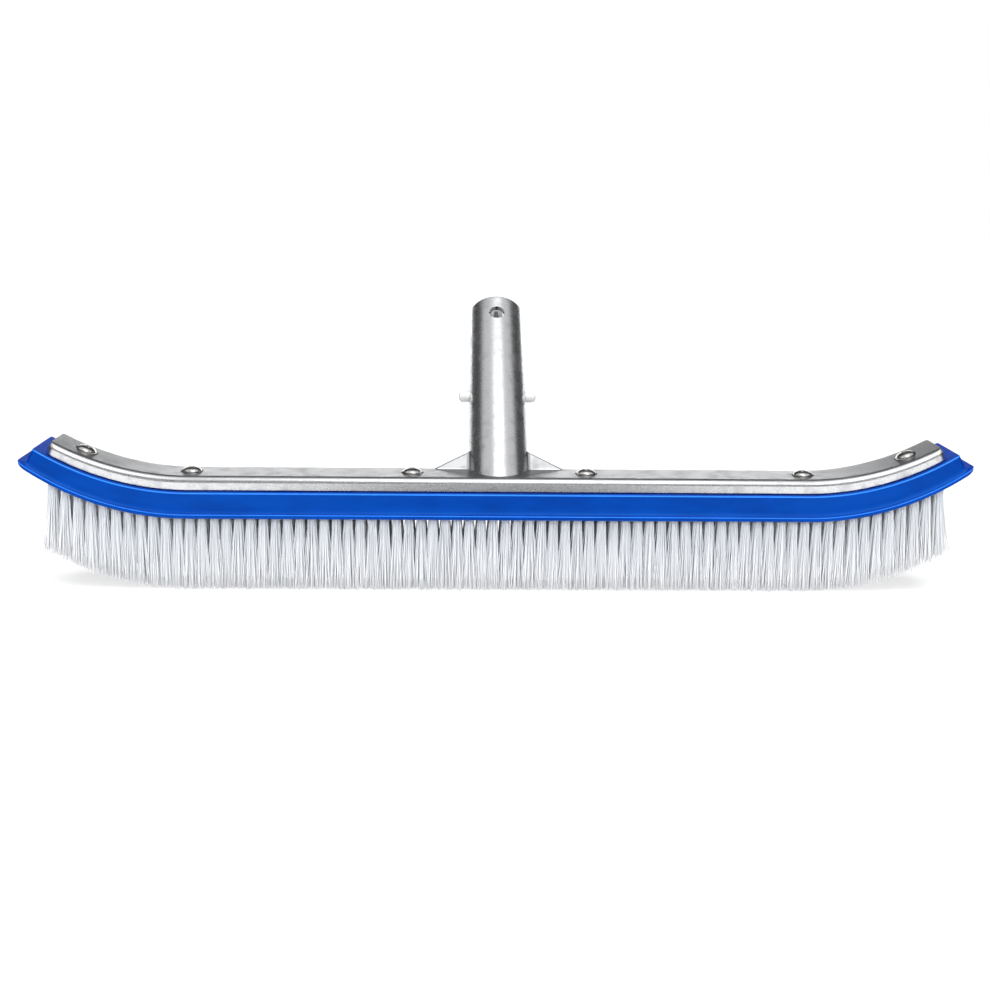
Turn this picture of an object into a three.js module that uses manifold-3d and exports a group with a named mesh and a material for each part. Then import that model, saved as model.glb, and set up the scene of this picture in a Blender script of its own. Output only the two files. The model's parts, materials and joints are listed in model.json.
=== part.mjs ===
// Pool wall brush: an aluminium back casting with a leaning handle spigot, a moulded brush block,
// banks of bristle tufts, six block screws and a spring clip with two push buttons.
// Millimetres, +Z up. The origin is the middle of the plane that the bristle tips stand on.
// +X runs along the brush and the spigot leans back towards +Y.
import * as THREE from 'three';
import { mergeVertices } from 'three/addons/utils/BufferGeometryUtils.js';
import Module from 'manifold-3d';

const wasm = await Module();
wasm.setup();

// ---- the brush as a whole ----
const overallLength = 450; // lip to lip
const endCurve = 77.5; // length along X of each upturned end
const bendRadius = 131; // of the upturned ends, centre above the brush
const fitGap = 0.3; // left between pieces that touch

// ---- bristles ----
const bristleLength = 36; // stands out of the block
const bankCount = 37; // banks side by side along X
const tuftRows = 5;
const rowPitch = 5.6;
const tuftRadius = 1.6; // at the block
const tipSpread = 0.9; // how much further the tips reach than the roots, front and back
const endSpread = 3.2; // the same at the two ends
const bankGap = 0.4;
const bankCorner = 1.2; // upright edges of a bank cut back
const fieldMargin = 11.2; // from the lip's end to the first tufts

// ---- brush block ----
const ledge = 2.9; // top of the block shown on each side of the bar
const endLedge = 5.2; // the same at the ends
const flare = 3.3; // lip beyond the wall, front and back
const endFlare = 6.7; // the same at the ends
const flareRise = 4; // of the concave flare, above the lip
const wallDraft = 0.3; // the wall leans out down to the flare, front and back
const endWallDraft = 2.23; // the same at the ends
const blockHeight = 12;
const lipThickness = 2.2;
const lipEdge = 0.35; // small rounds on the block's edges
const blockCorner = 1.6; // plan corner of the ledge
const lipCorner = 4; // plan corner of the lip

// ---- aluminium bar ----
const barTopWidth = 19;
const shoulder = 3.75; // convex edge from the flat top to the side
const endDraft = 2.6; // how far the straight end faces lean out, top to bottom
const shoulderDrop = 3;
const barHeight = 6.5;
const barCorner = 1.2; // plan corner of the flat top
const barFootCorner = 2.6; // plan corner below the shoulder
const footEdge = 0.3;

// ---- handle spigot ----
const spigotTilt = THREE.MathUtils.degToRad(48.8); // from upright, towards +Y
const spigotLength = 102; // from the bar's top, along the axis
const spigotMouthRadius = 13.8;
const spigotBaseRadius = 14.7;
const spigotWall = 2.8;
const spigotSetBack = 5.2; // axis behind the bar's flat top, at the top's level
const mouthRound = 0.6;
const floorThickness = 3; // closes the bore above the bar's underside
const lockHoleRadius = 4.05; // through both walls near the mouth
const lockHoleFromMouth = 11.6;

// ---- gussets ----
const gussetThickness = 3;
const gussetInset = 1.1; // front face inside the flat top's back edge
const gussetReach = 18.1; // beyond the spigot's base radius
const gussetRise = 11.2; // along the spigot, above the bar
const gussetFillet = 3.2;

// ---- spring clip with its two buttons ----
const buttonFromMouth = 57.5;
const buttonRadius = 2.75;
const buttonStandOut = 5.4;
const buttonHoleClearance = 1.05;
const buttonSwing = 0.85; // hole centre below the button, for the arc that the button follows
const clipThickness = 2.3;
const clipWidth = 12;
const clipBendRadius = 3.2; // outside
const clipSetBack = 1.5; // bend below the mouth
const clipTail = 5; // arm beyond the button
const clipWallClearance = 0.4;

// ---- block screws ----
const screwHeadRadius = 4.75;
const screwHeadHeight = 3.1;
const screwShankRadius = 2.1;
const screwReach = 12; // under the head
const counterboreClearance = 0.65;
const counterboreDepth = 1.1;
const shankClearance = 0.35;
const pilotExtra = 1.2; // hole deeper than the screw's point
const innerScrewAt = 42;
const endScrewInset = 13.5; // from the flat top's end
const crossWidth = 1.1;
const crossLength = 5;
const crossDepth = 1.3;

// ---- what follows from them ----
const barTop = bristleLength + blockHeight + fitGap + barHeight;
const barBottom = barTop - barHeight;
const blockTop = barBottom - fitGap;
const blockBottom = blockTop - blockHeight;
const lipHalfLength = overallLength / 2;
const straightHalf = lipHalfLength - endCurve;
const wallHalfLength = lipHalfLength - endFlare;
const barHalfLength = wallHalfLength - endLedge;
const barHalfWidth = barTopWidth / 2 + shoulder;
const wallHalfWidth = barHalfWidth + ledge;
const lipHalfWidth = wallHalfWidth + flare;
const screwPlaces = [innerScrewAt, straightHalf, barHalfLength - endDraft - endScrewInset];
const spigotBaseY = barTopWidth / 2 + spigotSetBack;
const boreRadius = spigotMouthRadius - spigotWall;

// ---- finishes ----
function finish(color, roughness, metalness) {
  return new THREE.MeshStandardMaterial({ color, roughness, metalness });
}
const aluminium = finish(0xb4b5b8, 0.32, 1);
const bluePlastic = finish(0x0a4fc0, 0.38, 0);
const screwSteel = finish(0xd2d2d0, 0.2, 1);
const whiteNylon = finish(0xeceeee, 0.45, 0);
const bristleNylon = finish(0xe6eaf2, 0.5, 0);

// ---- solids: joining, cutting and placing ----

// A closed geometry as a solid, with its shared corners merged.
function solid(geometry) {
  const bare = geometry.clone();
  bare.deleteAttribute('normal');
  bare.deleteAttribute('uv');
  const merged = mergeVertices(bare, 1e-4);
  const vertProperties = new Float32Array(merged.attributes.position.array);
  const triVerts = new Uint32Array(merged.index.array);
  return new wasm.Manifold(new wasm.Mesh({ numProp: 3, vertProperties, triVerts }));
}

function geometryOf(body) {
  const mesh = body.getMesh();
  const geometry = new THREE.BufferGeometry();
  geometry.setAttribute('position', new THREE.BufferAttribute(new Float32Array(mesh.vertProperties), 3));
  geometry.setIndex(new THREE.BufferAttribute(new Uint32Array(mesh.triVerts), 1));
  return geometry;
}

// How far the upturned ends have risen at x: a circular arc beyond the straight middle.
function lift(x) {
  const along = Math.max(Math.abs(x) - straightHalf, 0);
  return bendRadius - Math.sqrt(bendRadius ** 2 - along ** 2);
}

function slopeAngle(x) {
  return Math.sign(x) * Math.asin(Math.max(Math.abs(x) - straightHalf, 0) / bendRadius);
}

// Places along X for a piece that follows the bend: close together where it curves.
function bendStations(halfLength, steps = 12) {
  const stations = [];
  const start = Math.min(straightHalf, halfLength);
  for (let i = 0; i <= steps; i++) {
    stations.push(start + ((halfLength - start) * i) / steps);
  }
  return [...stations.map((x) => -x).reverse(), ...stations];
}

// One closed outline at height z: a rectangle with rounded plan corners. Its points run along the back
// from -X to +X and return along the front, so that point i faces the point that is i from the end.
function outline(halfLength, halfWidth, radius, z, stations, cornerSteps = 5) {
  const back = [];
  const inner = halfLength - radius;
  const corner = (side, from, to) => {
    for (let i = 0; i <= cornerSteps; i++) {
      const angle = from + ((to - from) * i) / cornerSteps;
      const x = side * inner + radius * Math.cos(angle);
      back.push(new THREE.Vector3(x, halfWidth - radius + radius * Math.sin(angle), z));
    }
  };
  corner(-1, Math.PI, Math.PI / 2);
  const reach = stations[stations.length - 1];
  for (const x of stations.slice(1, -1)) {
    back.push(new THREE.Vector3((x * inner) / reach, halfWidth, z));
  }
  corner(1, Math.PI / 2, 0);
  const front = back.map((point) => new THREE.Vector3(point.x, -point.y, z)).reverse();
  return [...back, ...front];
}

// A closed body through stacked outlines, highest first, whose top and bottom are strips across Y.
function stack(outlines) {
  const count = outlines[0].length;
  const positions = outlines.flatMap((ring) => ring.flatMap((point) => point.toArray()));
  const index = [];
  const quad = (a, b, c, d) => index.push(a, b, c, a, c, d);
  for (let level = 0; level + 1 < outlines.length; level++) {
    for (let i = 0; i < count; i++) {
      const next = (i + 1) % count;
      const upper = level * count;
      const lower = upper + count;
      quad(upper + i, upper + next, lower + next, lower + i);
    }
  }
  const last = (outlines.length - 1) * count;
  for (let i = 0; i + 1 < count / 2; i++) {
    const facing = count - 1 - i;
    quad(facing, facing - 1, i + 1, i);
    quad(last + i, last + i + 1, last + facing - 1, last + facing);
  }
  const geometry = new THREE.BufferGeometry();
  geometry.setAttribute('position', new THREE.Float32BufferAttribute(positions, 3));
  geometry.setIndex(index);
  return geometry;
}

// Raises every point by the bend's lift at its own x, so upright walls stay upright.
function followBend(geometry) {
  const place = geometry.attributes.position;
  for (let i = 0; i < place.count; i++) {
    place.setZ(i, place.getZ(i) + lift(place.getX(i)));
  }
  return geometry;
}

// A cylinder along a direction, centred on a point.
function rod(radius, length, centre, direction, sides = 32) {
  const geometry = new THREE.CylinderGeometry(radius, radius, length, sides);
  const turn = new THREE.Quaternion().setFromUnitVectors(new THREE.Vector3(0, 1, 0), direction);
  geometry.applyQuaternion(turn);
  geometry.translate(centre.x, centre.y, centre.z);
  return geometry;
}

function block(sizeX, sizeY, sizeZ, centre) {
  return new THREE.BoxGeometry(sizeX, sizeY, sizeZ).translate(centre.x, centre.y, centre.z);
}

// An outline in X and Z pulled out to both sides of the plane y = middle.
function plate(shape, thickness, middle) {
  const options = { depth: thickness, bevelEnabled: false, curveSegments: 8 };
  const geometry = new THREE.ExtrudeGeometry(shape, options);
  geometry.rotateX(Math.PI / 2);
  return geometry.translate(0, middle + thickness / 2, 0);
}

// The spigot's own frame: z along its axis from the bar's top, -y square to it towards the front.
function toSpigot(object) {
  object.rotation.x = -spigotTilt;
  object.position.set(0, spigotBaseY, barTop);
  object.updateMatrix();
  return object;
}
const spigotMatrix = toSpigot(new THREE.Group()).matrix;

function spigotRadius(z) {
  return spigotBaseRadius + ((spigotMouthRadius - spigotBaseRadius) * z) / spigotLength;
}

// ---- screw places, used by the bar, the block and the screws ----

// A group at the foot of the counterbore, z square to the bar's top there.
function screwSeat(x) {
  const seat = new THREE.Group();
  const tilt = slopeAngle(x);
  seat.rotation.y = -tilt;
  const down = counterboreDepth;
  seat.position.set(x + down * Math.sin(tilt), 0, barTop + lift(x) - down * Math.cos(tilt));
  seat.updateMatrix();
  return seat;
}

const allScrewPlaces = [...screwPlaces.map((x) => -x).reverse(), ...screwPlaces];

// ---- back casting ----

function barBody() {
  const flatHalf = barTopWidth / 2;
  const rings = [];
  const ring = (out, down) => {
    const halfLength = barHalfLength - endDraft * (1 - down / barHeight);
    const corner = barCorner + (barFootCorner - barCorner) * (out / shoulder);
    rings.push([halfLength, flatHalf + out, corner, barTop - down]);
  };
  const shoulderSteps = 5;
  for (let i = 0; i <= shoulderSteps; i++) {
    const angle = ((Math.PI / 2) * i) / shoulderSteps;
    ring(shoulder * Math.sin(angle), shoulderDrop * (1 - Math.cos(angle)));
  }
  ring(shoulder, barHeight - footEdge);
  ring(shoulder - footEdge, barHeight);
  const stations = bendStations(barHalfLength);
  return followBend(stack(rings.map((values) => outline(...values, stations))));
}

// Tube with a blind bore, turned about its own axis; its foot runs down into the bar.
function spigotBody() {
  const foot = -2 * spigotBaseRadius;
  const boreFloor = (boreRadius * Math.sin(spigotTilt) - barHeight + floorThickness) / Math.cos(spigotTilt);
  const profile = [
    [0, foot],
    [spigotRadius(foot), foot],
    [spigotRadius(spigotLength - mouthRound), spigotLength - mouthRound],
    [spigotMouthRadius - mouthRound, spigotLength],
    [boreRadius + mouthRound, spigotLength],
    [boreRadius, spigotLength - mouthRound],
    [boreRadius, boreFloor],
    [0, boreFloor],
  ].map(([radius, z]) => new THREE.Vector2(radius, z));
  return new THREE.LatheGeometry(profile, 56).rotateX(Math.PI / 2);
}

// One web beside the spigot, side +1 or -1: a section with fillets against the tube, carried up along the
// spigot and cut to a triangle.
function gussetBody(side) {
  const front = -(spigotSetBack + gussetInset) * Math.cos(spigotTilt);
  const back = front + gussetThickness;
  const tubeSide = (y) => Math.sqrt(spigotBaseRadius ** 2 - y ** 2);
  const end = spigotBaseRadius + gussetReach + 1;
  const core = spigotBaseRadius - spigotWall + 0.6;
  const section = new THREE.Shape();
  section.moveTo(side * (tubeSide(front - gussetFillet) - 0.5), front - gussetFillet);
  section.quadraticCurveTo(side * tubeSide(front), front, side * (tubeSide(front) + gussetFillet), front);
  section.lineTo(side * end, front);
  section.lineTo(side * end, back);
  section.lineTo(side * (tubeSide(back) + gussetFillet), back);
  section.quadraticCurveTo(side * tubeSide(back), back, side * (tubeSide(back) - 0.2), back + gussetFillet);
  section.lineTo(side * core, back);
  section.lineTo(side * core, front);
  section.closePath();
  const barLevel = front * Math.tan(spigotTilt); // where the front face meets the bar's top
  const foot = barLevel - barHeight;
  const depth = barLevel + gussetRise - foot;
  const carried = new THREE.ExtrudeGeometry(section, { depth, bevelEnabled: false, curveSegments: 6 });
  carried.translate(0, 0, foot);
  const web = new THREE.Shape();
  web.moveTo(0, foot - 1);
  web.lineTo(side * (spigotBaseRadius + gussetReach), foot - 1);
  web.lineTo(side * (spigotBaseRadius + gussetReach), barLevel);
  web.lineTo(side * spigotBaseRadius, barLevel + gussetRise);
  web.lineTo(0, barLevel + gussetRise);
  web.closePath();
  const cutter = plate(web, 4 * spigotBaseRadius, 0);
  return solid(carried).intersect(solid(cutter));
}

function backCasting() {
  const across = new THREE.Vector3(1, 0, 0);
  const through = new THREE.Vector3(0, 1, 0);
  const buttonHoleZ = spigotLength - buttonFromMouth - buttonSwing;
  let handle = solid(spigotBody());
  for (const side of [-1, 1]) {
    handle = handle.add(gussetBody(side));
    const wallMiddle = new THREE.Vector3(side * (boreRadius + spigotWall / 2), 0, buttonHoleZ);
    const holeRadius = buttonRadius + buttonHoleClearance;
    handle = handle.subtract(solid(rod(holeRadius, 3 * spigotWall, wallMiddle, across)));
  }
  const lockHole = new THREE.Vector3(0, 0, spigotLength - lockHoleFromMouth);
  handle = handle.subtract(solid(rod(lockHoleRadius, 3 * spigotBaseRadius, lockHole, through)));
  const placed = solid(geometryOf(handle).applyMatrix4(spigotMatrix));
  const size = 8 * spigotBaseRadius;
  const below = block(size, size, size, new THREE.Vector3(0, 0, barBottom - size / 2));
  const inFront = block(size, size, size, new THREE.Vector3(0, -size / 2, barTop - 0.5 - size / 2));
  let casting = placed.subtract(solid(below)).subtract(solid(inFront)).add(solid(barBody()));
  for (const x of allScrewPlaces) {
    casting = casting.subtract(screwHoles(x));
  }
  return geometryOf(casting);
}

// Counterbore and clearance hole for one screw, through the bar.
function screwHoles(x) {
  const up = new THREE.Vector3(0, 0, 1);
  const headRoom = 3 * screwHeadHeight;
  const wideRadius = screwHeadRadius + counterboreClearance;
  const wide = rod(wideRadius, headRoom, new THREE.Vector3(0, 0, headRoom / 2), up);
  const drill = 4 * barHeight;
  const narrowRadius = screwShankRadius + shankClearance;
  const narrow = rod(narrowRadius, drill, new THREE.Vector3(0, 0, -drill / 2 + 1), up, 20);
  return solid(wide.applyMatrix4(screwSeat(x).matrix)).add(solid(narrow.applyMatrix4(screwSeat(x).matrix)));
}

// ---- brush block ----

function brushBlock() {
  const flareSteps = 6;
  const lipTop = blockBottom + lipThickness;
  const rings = [
    [wallHalfLength - lipEdge, wallHalfWidth - lipEdge, blockCorner - lipEdge, blockTop],
    [wallHalfLength, wallHalfWidth, blockCorner, blockTop - lipEdge],
  ];
  // Concave quarter from the wall out to the lip: wide at the foot, steep where it leaves the wall.
  for (let i = 0; i <= flareSteps; i++) {
    const angle = ((Math.PI / 2) * i) / flareSteps;
    const out = 1 - Math.cos(angle);
    const z = lipTop + flareRise * (1 - Math.sin(angle));
    const halfLength = wallHalfLength + endWallDraft + (endFlare - endWallDraft - lipEdge) * out;
    const halfWidth = wallHalfWidth + wallDraft + (flare - wallDraft - lipEdge) * out;
    rings.push([halfLength, halfWidth, blockCorner + (lipCorner - lipEdge - blockCorner) * out, z]);
  }
  rings.push([lipHalfLength, lipHalfWidth, lipCorner, lipTop - lipEdge]);
  rings.push([lipHalfLength, lipHalfWidth, lipCorner, blockBottom + lipEdge]);
  rings.push([lipHalfLength - lipEdge, lipHalfWidth - lipEdge, lipCorner - lipEdge, blockBottom]);
  const stations = bendStations(lipHalfLength);
  let moulding = solid(followBend(stack(rings.map((ring) => outline(...ring, stations)))));
  for (const x of allScrewPlaces) {
    moulding = moulding.subtract(pilotHole(x));
  }
  return geometryOf(moulding);
}

function pilotHole(x) {
  const up = new THREE.Vector3(0, 0, 1);
  const depth = screwReach + pilotExtra;
  const hole = rod(screwShankRadius + fitGap, depth, new THREE.Vector3(0, 0, -depth / 2), up, 20);
  return solid(hole.applyMatrix4(screwSeat(x).matrix));
}

// ---- bristles ----

// One bank of tufts as a plain body: it starts under the block and spreads towards its tips.
function bristleBank(number) {
  const pitch = (overallLength - 2 * fieldMargin) / bankCount;
  const fromMiddle = number - (bankCount + 1) / 2;
  const centre = fromMiddle * pitch;
  const rootHalfWidth = (rowPitch * (tuftRows - 1)) / 2 + tuftRadius;
  const halfLength = (pitch - bankGap) / 2;
  const lean = (z) => endSpread * (1 - z / blockBottom) * Math.sign(fromMiddle);
  const corners = (z, halfWidth) => {
    const points = outline(halfLength, halfWidth, bankCorner, z, [-halfLength, halfLength], 1);
    const isEnd = Math.abs(fromMiddle) === (bankCount - 1) / 2;
    for (const point of points) {
      const outer = isEnd && point.x * fromMiddle > 0;
      point.x += centre + (outer ? lean(z) : 0);
    }
    return points;
  };
  const rings = [corners(blockBottom - fitGap, rootHalfWidth), corners(0, rootHalfWidth + tipSpread)];
  return followBend(stack(rings));
}

// ---- block screws ----

// Pan head with a cross recess and a pointed shank; z = 0 is the underside of the head.
function blockScrew() {
  const crown = 0.75 * screwHeadHeight;
  const edge = 0.25 * screwHeadHeight;
  const dome = [0, 0.2, 0.4, 0.6, 0.8, 1].map((share) => {
    const turn = (share * Math.PI) / 2;
    return [screwHeadRadius * Math.cos(turn), edge + (screwHeadHeight - edge) * Math.sin(turn)];
  });
  dome[dome.length - 1][0] = 0;
  const profile = [
    [0, -screwReach],
    [screwShankRadius * 0.25, -screwReach],
    [screwShankRadius, -screwReach + 1.6 * screwShankRadius],
    [screwShankRadius, 0],
    [screwHeadRadius - 0.3, 0],
    ...dome,
  ].map(([radius, z]) => new THREE.Vector2(radius, z));
  let screw = solid(new THREE.LatheGeometry(profile, 24).rotateX(Math.PI / 2));
  const recess = new THREE.Vector3(0, 0, screwHeadHeight - crossDepth / 2 + crown / 2);
  const bladeHeight = crossDepth + crown;
  screw = screw.subtract(solid(block(crossLength, crossWidth, bladeHeight, recess)));
  screw = screw.subtract(solid(block(crossWidth, crossLength, bladeHeight, recess)));
  return geometryOf(screw);
}

// ---- spring clip ----

const clipBendZ = spigotLength - clipSetBack - clipBendRadius;
const clipRootX = clipBendRadius - clipThickness / 2;

// The round bend at the top of the clip, a half ring.
function clipBend() {
  const ring = new THREE.Shape();
  ring.absarc(0, 0, clipBendRadius, 0, Math.PI, false);
  ring.absarc(0, 0, clipBendRadius - clipThickness, Math.PI, 0, true);
  ring.closePath();
  const geometry = new THREE.ExtrudeGeometry(ring, {
    depth: clipWidth,
    bevelEnabled: false,
    curveSegments: 20,
  });
  geometry.rotateX(Math.PI / 2);
  return geometry.translate(0, clipWidth / 2, clipBendZ);
}

// One arm from under the bend to past the button, with the button that stands out of it.
// Its own origin is the middle of its root, where it bends.
function buttonArm(side) {
  const drop = clipBendZ - (spigotLength - buttonFromMouth);
  const halfWall = Math.sqrt(boreRadius ** 2 - (clipWidth / 2) ** 2);
  const halfThickness = clipThickness / 2;
  const reach = halfWall - clipWallClearance - halfThickness - clipRootX;
  const lean = Math.atan2(reach, drop + clipTail);
  const armLength = (drop + clipTail) / Math.cos(lean);
  const strip = new THREE.Shape();
  strip.moveTo(halfThickness, -fitGap);
  strip.lineTo(-halfThickness, -fitGap);
  strip.lineTo(-halfThickness, -armLength + halfThickness);
  strip.absarc(0, -armLength + halfThickness, halfThickness, Math.PI, 2 * Math.PI, false);
  strip.closePath();
  const arm = plate(strip, clipWidth, 0).rotateY(-side * lean);
  const rootX = drop * Math.tan(lean) - halfThickness / 2;
  const tipX = spigotRadius(spigotLength - buttonFromMouth) + buttonStandOut - clipRootX;
  const dome = 0.35 * buttonRadius;
  const profile = [
    [0, rootX],
    [buttonRadius, rootX],
    [buttonRadius, tipX - 2 * dome],
    [buttonRadius * 0.94, tipX - dome],
    [buttonRadius * 0.75, tipX - 0.35 * dome],
    [buttonRadius * 0.4, tipX],
    [0, tipX],
  ].map(([radius, x]) => new THREE.Vector2(radius, x));
  const button = new THREE.LatheGeometry(profile, 24).rotateZ((-side * Math.PI) / 2).translate(0, 0, -drop);
  return geometryOf(solid(arm).add(solid(button)));
}

// ---- the assembly ----

function piece(name, geometry, material) {
  const mesh = new THREE.Mesh(geometry, material);
  mesh.name = name;
  return mesh;
}

const brush = new THREE.Group();
brush.add(piece('back_casting', backCasting(), aluminium));
brush.add(piece('brush_block', brushBlock(), bluePlastic));

allScrewPlaces.forEach((x, i) => {
  const seat = screwSeat(x);
  seat.add(piece(`block_screw_${i + 1}`, blockScrew().translate(0, 0, fitGap), screwSteel));
  brush.add(seat);
});

const clip = toSpigot(new THREE.Group());
clip.add(piece('clip_bend', clipBend(), whiteNylon));
for (const [name, side] of [
  ['left_button_arm', -1],
  ['right_button_arm', 1],
]) {
  const arm = piece(name, buttonArm(side), whiteNylon);
  arm.position.set(side * clipRootX, 0, clipBendZ);
  clip.add(arm);
}
brush.add(clip);

for (let number = 1; number <= bankCount; number++) {
  const name = `bristle_bank_${String(number).padStart(2, '0')}`;
  brush.add(piece(name, bristleBank(number), bristleNylon));
}

export default brush;
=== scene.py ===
import json
import math

import bpy
import numpy as np
from mathutils import Matrix, Vector


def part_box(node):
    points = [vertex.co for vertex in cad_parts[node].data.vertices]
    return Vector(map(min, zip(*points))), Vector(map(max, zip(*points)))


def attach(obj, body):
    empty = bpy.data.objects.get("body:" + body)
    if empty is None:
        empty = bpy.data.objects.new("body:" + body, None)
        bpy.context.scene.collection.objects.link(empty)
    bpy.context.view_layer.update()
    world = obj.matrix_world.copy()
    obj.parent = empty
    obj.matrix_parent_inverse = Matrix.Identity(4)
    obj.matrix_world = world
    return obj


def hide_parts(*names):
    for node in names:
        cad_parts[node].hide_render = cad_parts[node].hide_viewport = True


bl_info = {
    "name": "Pool wall brush",
    "version": (1, 0, 0),
    "blender": (4, 5, 0),
    "location": "3D View > Sidebar > Pool brush",
    "description": "Builds the fine surfaces, finishes and studio of a pool wall brush",
    "category": "Add Mesh",
}

MM = 0.001
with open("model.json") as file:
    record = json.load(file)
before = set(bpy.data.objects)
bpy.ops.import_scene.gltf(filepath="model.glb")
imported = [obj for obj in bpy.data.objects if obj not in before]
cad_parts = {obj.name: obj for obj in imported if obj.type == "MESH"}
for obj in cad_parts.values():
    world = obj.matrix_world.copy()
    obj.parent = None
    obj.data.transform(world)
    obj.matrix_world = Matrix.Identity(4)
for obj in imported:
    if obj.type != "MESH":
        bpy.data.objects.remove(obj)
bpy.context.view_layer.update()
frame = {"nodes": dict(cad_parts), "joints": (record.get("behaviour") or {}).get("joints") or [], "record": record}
casting_low, casting_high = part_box("back_casting")
block_low, block_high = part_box("brush_block")


# ---- sizes and colours that a user would change ----


def length(name, description, millimetres):
    """A length property, its default given in millimetres."""
    return bpy.props.FloatProperty(
        name=name, description=description, default=millimetres * MM, unit="LENGTH", precision=5
    )


def angle(name, description, degrees):
    """An angle property, its default given in degrees."""
    return bpy.props.FloatProperty(
        name=name, description=description, default=math.radians(degrees), unit="ROTATION"
    )


def count(name, description, default):
    """A whole number of things, at least one."""
    return bpy.props.IntProperty(name=name, description=description, default=default, min=1)


def strength(name, description, default):
    """A ratio or a radiance, never negative."""
    return bpy.props.FloatProperty(name=name, description=description, default=default, min=0.0, precision=3)


def colour(name, description, default):
    """A base colour, linear."""
    return bpy.props.FloatVectorProperty(
        name=name, description=description, default=default, size=3, min=0.0, max=1.0, subtype="COLOR"
    )


class BendSizes(bpy.types.PropertyGroup):
    """The upturned ends, which the bar, the block and the bristles all follow."""

    straight_half: length("Straight half", "From the middle to where the ends start to rise", 147.5)
    radius: length("Bend radius", "Of the upturned ends", 131)


class BarSizes(bpy.types.PropertyGroup):
    """The aluminium bar of the back casting."""

    flat_width: length("Flat width", "Ground top face, across the brush", 19)
    shoulder: length("Shoulder", "Convex edge from the flat to the side, seen from above", 3.75)
    shoulder_drop: length("Shoulder drop", "The same, seen from the end", 3)
    height: length("Height", "Of the bar", 6.5)
    end_draft: length("End draft", "How far the end faces lean out from top to bottom", 2.6)
    top_corner: length("Top corner", "Plan corner of the flat", 1.2)
    foot_corner: length("Foot corner", "Plan corner below the shoulder", 2.6)
    foot_edge: length("Foot edge", "Small break along the underside", 0.3)
    counterbore: length("Counterbore radius", "Round each screw head", 5.4)
    counterbore_depth: length("Counterbore depth", "Below the flat", 1.1)
    shank_hole: length("Shank hole radius", "Through the bar", 2.45)
    rim: length("Rim break", "Small bevel on holes and cast edges", 0.22)


class SpigotSizes(bpy.types.PropertyGroup):
    """The leaning handle spigot with its bore, lock hole and button holes."""

    length: length("Length", "From the bar's top along the axis", 102)
    mouth_radius: length("Mouth radius", "Outside, at the mouth", 13.8)
    base_radius: length("Base radius", "Outside, at the bar's top", 14.7)
    wall: length("Wall", "At the mouth", 2.8)
    mouth_round: length("Mouth round", "On both edges of the mouth", 1.0)
    floor: length("Floor", "Metal left under the bore", 3)
    lock_hole: length("Lock hole radius", "Through both walls near the mouth", 4.05)
    lock_hole_down: length("Lock hole from mouth", "Along the axis", 11.6)
    button_hole: length("Button hole radius", "In each side wall", 3.8)
    button_hole_down: length("Button hole from mouth", "Along the axis", 58.35)
    foot_fillet: length("Foot fillet", "Between the tube and the flat", 1.3)


class GussetSizes(bpy.types.PropertyGroup):
    """The two webs that brace the spigot."""

    thickness: length("Thickness", "Of each web", 3)
    front: length("Front face", "Ahead of the spigot's axis, square to it", 4.15)
    reach: length("Reach", "Along the bar beyond the spigot", 18.1)
    rise: length("Rise", "Along the spigot above the bar", 11.2)
    fillet: length("Fillet", "Against the tube", 3.2)
    edge: length("Edge round", "On the sloping top", 1.3)


class BlockSizes(bpy.types.PropertyGroup):
    """The moulded brush block."""

    flare: length("Flare", "Lip beyond the wall, front and back", 3.3)
    end_flare: length("End flare", "The same at the ends", 6.7)
    flare_rise: length("Flare rise", "Height of the concave flare above the lip", 4)
    wall_draft: length("Wall draft", "Lean of the wall, front and back", 0.3)
    end_wall_draft: length("End wall draft", "The same at the ends", 2.23)
    lip: length("Lip", "Thickness of the lip", 2.2)
    height: length("Height", "Of the block", 12)
    ledge_edge: length("Ledge edge", "Round on the ledge", 1.0)
    lip_edge: length("Lip edge", "Round on the lip", 0.6)
    ledge_corner: length("Ledge corner", "Plan corner of the ledge", 1.6)
    lip_corner: length("Lip corner", "Plan corner of the lip", 4)


class ScrewSizes(bpy.types.PropertyGroup):
    """The six plated screws that hold the block to the bar."""

    head_radius: length("Head radius", "Of the pan head", 4.75)
    head_height: length("Head height", "Of the pan head", 3.1)
    shank_radius: length("Shank radius", "Of the thread", 2.1)
    reach: length("Reach", "Under the head", 12)
    thread_pitch: length("Thread pitch", "Between turns", 1.4)
    inner_place: length("Inner place", "From the middle to the inner screws", 42)
    end_inset: length("End inset", "From the flat's end to the end screws", 13.5)
    cross_width: length("Cross width", "Of the recess's slots", 1.1)
    cross_length: length("Cross length", "Of the recess's slots", 5)
    cross_depth: length("Cross depth", "Of the recess", 1.5)


class ClipSizes(bpy.types.PropertyGroup):
    """The nylon spring clip with its two push buttons."""

    thickness: length("Thickness", "Of the strip", 2.3)
    width: length("Width", "Of the strip", 12)
    bend_radius: length("Bend radius", "Outside of the bend", 3.2)
    tail: length("Tail", "Arm beyond the button", 5)
    wall_clearance: length("Wall clearance", "Between the tail and the bore", 0.4)
    edge: length("Edge round", "On the strip's long edges", 0.4)
    button_radius: length("Button radius", "Of each button", 2.75)
    button_down: length("Button from mouth", "Along the spigot", 57.5)
    button_stand: length("Button stand-out", "Beyond the tube", 5.4)


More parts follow.
